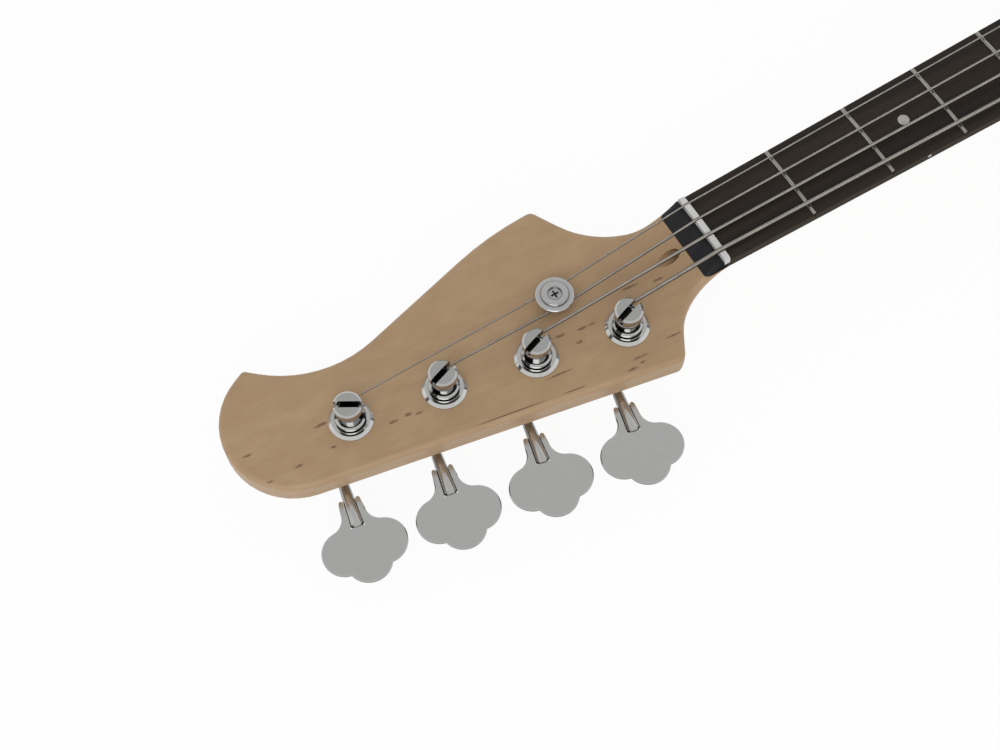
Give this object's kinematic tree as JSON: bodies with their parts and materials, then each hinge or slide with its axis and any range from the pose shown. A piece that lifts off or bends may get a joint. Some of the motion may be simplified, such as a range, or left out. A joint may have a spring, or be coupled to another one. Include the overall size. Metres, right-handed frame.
{
  "type": "electric bass guitar",
  "caption": "Long-scale solid-body electric bass: bolt-on maple neck, offset head with geared clover-key tuners in a line, bridge with sliding saddles, two pickups, volume and tone.",
  "frame": {"origin": "on the flat back of the body, on the centre line, under the saddle line", "axes": "+X along the strings toward the head, +Y toward the bass side, +Z out of the front"},
  "size_m": [1.2354, 0.3438, 0.0634],
  "materials": {
    "sunburst": "gloss",
    "maple": "satin",
    "rosewood": "satin",
    "bone": "satin",
    "pearl": "gloss",
    "steel": "satin",
    "chrome": "polished",
    "black_plastic": "satin",
    "brass": "satin",
    "coil": "satin",
    "foam": "matte",
    "capacitor": "gloss",
    "insulation": "satin"
  },
  "bodies": {
    "instrument": {"body": "sunburst", "bridge_plate": "chrome", "bridge_screws": "chrome", "control_cover": "black_plastic", "cover_screws": "chrome", "fretboard": "rosewood", "frets": "steel", "neck": "maple", "neck_ferrules": "chrome", "neck_screws": "chrome", "nut": "bone", "output_jack": "chrome", "pickup_coils": "coil", "pickup_covers": "black_plastic", "pickup_foam": "foam", "pickup_magnets": "steel", "pickup_screws": "chrome", "position_dots": "pearl", "pot_cases": "chrome", "pot_nuts": "chrome", "retainer_screw": "chrome", "saddle_springs": "steel", "strap_buttons": "chrome", "strap_screws": "chrome", "string_a": "steel", "string_d": "steel", "string_e": "steel", "string_g": "steel", "string_retainer": "chrome", "tone_capacitor": "capacitor", "truss_rod": "steel", "tuner_ferrules": "chrome", "tuner_plates": "chrome", "tuner_screws": "chrome", "wiring": "insulation"},
    "tuner_e_key_body": {"tuner_key_e": "chrome"},
    "tuner_e_post_body": {"tuner_post_e": "chrome", "tuner_gear_e": "brass"},
    "tuner_a_key_body": {"tuner_key_a": "chrome"},
    "tuner_a_post_body": {"tuner_post_a": "chrome", "tuner_gear_a": "brass"},
    "tuner_d_key_body": {"tuner_key_d": "chrome"},
    "tuner_d_post_body": {"tuner_post_d": "chrome", "tuner_gear_d": "brass"},
    "tuner_g_key_body": {"tuner_key_g": "chrome"},
    "tuner_g_post_body": {"tuner_post_g": "chrome", "tuner_gear_g": "brass"},
    "intonation_e_screw_body": {"intonation_screw_e": "steel"},
    "saddle_e_body": {"saddle_e": "chrome"},
    "intonation_a_screw_body": {"intonation_screw_a": "steel"},
    "saddle_a_body": {"saddle_a": "chrome"},
    "intonation_d_screw_body": {"intonation_screw_d": "steel"},
    "saddle_d_body": {"saddle_d": "chrome"},
    "intonation_g_screw_body": {"intonation_screw_g": "steel"},
    "saddle_g_body": {"saddle_g": "chrome"},
    "volume_control_body": {"knob_volume": "black_plastic", "pot_shaft_volume": "brass"},
    "tone_control_body": {"knob_tone": "black_plastic", "pot_shaft_tone": "brass"},
    "truss_rod_nut_body": {"truss_rod_nut": "steel"}
  },
  "joints": [
    {"name": "tuner_e_key_turn", "type": "hinge", "parent": "instrument", "child": "tuner_e_key_body", "pos_m": [0.93316, 0.01748, 0.0245], "axis": [0.1934, 0.9811, 0], "continuous": true, "deforming": ["string_e"]},
    {"name": "tuner_e_post_turn", "type": "hinge", "parent": "instrument", "child": "tuner_e_post_body", "pos_m": [0.9209, 0.0199, 0.045], "axis": [0, 0, 1], "continuous": true, "deforming": ["string_e"]},
    {"name": "tuner_a_key_turn", "type": "hinge", "parent": "instrument", "child": "tuner_a_key_body", "pos_m": [0.97771, 0.0087, 0.0245], "axis": [0.1934, 0.9811, 0], "continuous": true, "deforming": ["string_a"]},
    {"name": "tuner_a_post_turn", "type": "hinge", "parent": "instrument", "child": "tuner_a_post_body", "pos_m": [0.96544, 0.01112, 0.045], "axis": [0, 0, 1], "continuous": true, "deforming": ["string_a"]},
    {"name": "tuner_d_key_turn", "type": "hinge", "parent": "instrument", "child": "tuner_d_key_body", "pos_m": [1.02225, -0.00008, 0.0245], "axis": [0.1934, 0.9811, 0], "continuous": true, "deforming": ["string_d"]},
    {"name": "tuner_d_post_turn", "type": "hinge", "parent": "instrument", "child": "tuner_d_post_body", "pos_m": [1.00999, 0.00234, 0.045], "axis": [0, 0, 1], "continuous": true, "deforming": ["string_d"]},
    {"name": "tuner_g_key_turn", "type": "hinge", "parent": "instrument", "child": "tuner_g_key_body", "pos_m": [1.06679, -0.00886, 0.0245], "axis": [0.1934, 0.9811, 0], "continuous": true, "deforming": ["string_g"]},
    {"name": "tuner_g_post_turn", "type": "hinge", "parent": "instrument", "child": "tuner_g_post_body", "pos_m": [1.05453, -0.00644, 0.045], "axis": [0, 0, 1], "continuous": true, "deforming": ["string_g"]},
    {"name": "saddle_e_slide", "type": "slide", "parent": "instrument", "child": "saddle_e_body", "axis": [1, 0, 0], "range_m": [-0.0025, 0.0025], "deforming": ["string_e", "saddle_springs"]},
    {"name": "intonation_e_screw_turn", "type": "hinge", "parent": "instrument", "child": "intonation_e_screw_body", "pos_m": [0, 0.0285, 0.05125], "axis": [1, 0, 0], "range_deg": [-1800, 1800], "deforming": ["string_e", "saddle_springs"]},
    {"name": "saddle_a_slide", "type": "slide", "parent": "instrument", "child": "saddle_a_body", "axis": [1, 0, 0], "range_m": [-0.0025, 0.0025], "deforming": ["string_a", "saddle_springs"]},
    {"name": "intonation_a_screw_turn", "type": "hinge", "parent": "instrument", "child": "intonation_a_screw_body", "pos_m": [0, 0.0095, 0.05125], "axis": [1, 0, 0], "range_deg": [-1800, 1800], "deforming": ["string_a", "saddle_springs"]},
    {"name": "saddle_d_slide", "type": "slide", "parent": "instrument", "child": "saddle_d_body", "axis": [1, 0, 0], "range_m": [-0.0025, 0.0025], "deforming": ["string_d", "saddle_springs"]},
    {"name": "intonation_d_screw_turn", "type": "hinge", "parent": "instrument", "child": "intonation_d_screw_body", "pos_m": [0, -0.0095, 0.05125], "axis": [1, 0, 0], "range_deg": [-1800, 1800], "deforming": ["string_d", "saddle_springs"]},
    {"name": "saddle_g_slide", "type": "slide", "parent": "instrument", "child": "saddle_g_body", "axis": [1, 0, 0], "range_m": [-0.0025, 0.0025], "deforming": ["string_g", "saddle_springs"]},
    {"name": "intonation_g_screw_turn", "type": "hinge", "parent": "instrument", "child": "intonation_g_screw_body", "pos_m": [0, -0.0285, 0.05125], "axis": [1, 0, 0], "range_deg": [-1800, 1800], "deforming": ["string_g", "saddle_springs"]},
    {"name": "volume_turn", "type": "hinge", "parent": "instrument", "child": "volume_control_body", "pos_m": [0.06767, -0.09805, 0.059], "axis": [0, 0, 1], "range_deg": [-140, 140]},
    {"name": "tone_turn", "type": "hinge", "parent": "instrument", "child": "tone_control_body", "pos_m": [0.02453, -0.11401, 0.059], "axis": [0, 0, 1], "range_deg": [-140, 140]},
    {"name": "truss_rod_nut_turn", "type": "hinge", "parent": "instrument", "child": "truss_rod_nut_body", "pos_m": [0.858, 0, 0.042], "axis": [1, 0, 0], "range_deg": [-180, 180]}
  ],
  "couplings": [
    {"joint": "tuner_e_post_turn", "follows": "tuner_e_key_turn", "ratio": -0.05},
    {"joint": "tuner_a_post_turn", "follows": "tuner_a_key_turn", "ratio": -0.05},
    {"joint": "tuner_d_post_turn", "follows": "tuner_d_key_turn", "ratio": -0.05},
    {"joint": "tuner_g_post_turn", "follows": "tuner_g_key_turn", "ratio": -0.05},
    {"joint": "intonation_e_screw_turn", "follows": "saddle_e_slide", "rad_per_m": -12566},
    {"joint": "intonation_a_screw_turn", "follows": "saddle_a_slide", "rad_per_m": -12566},
    {"joint": "intonation_d_screw_turn", "follows": "saddle_d_slide", "rad_per_m": -12566},
    {"joint": "intonation_g_screw_turn", "follows": "saddle_g_slide", "rad_per_m": -12566}
  ]
}
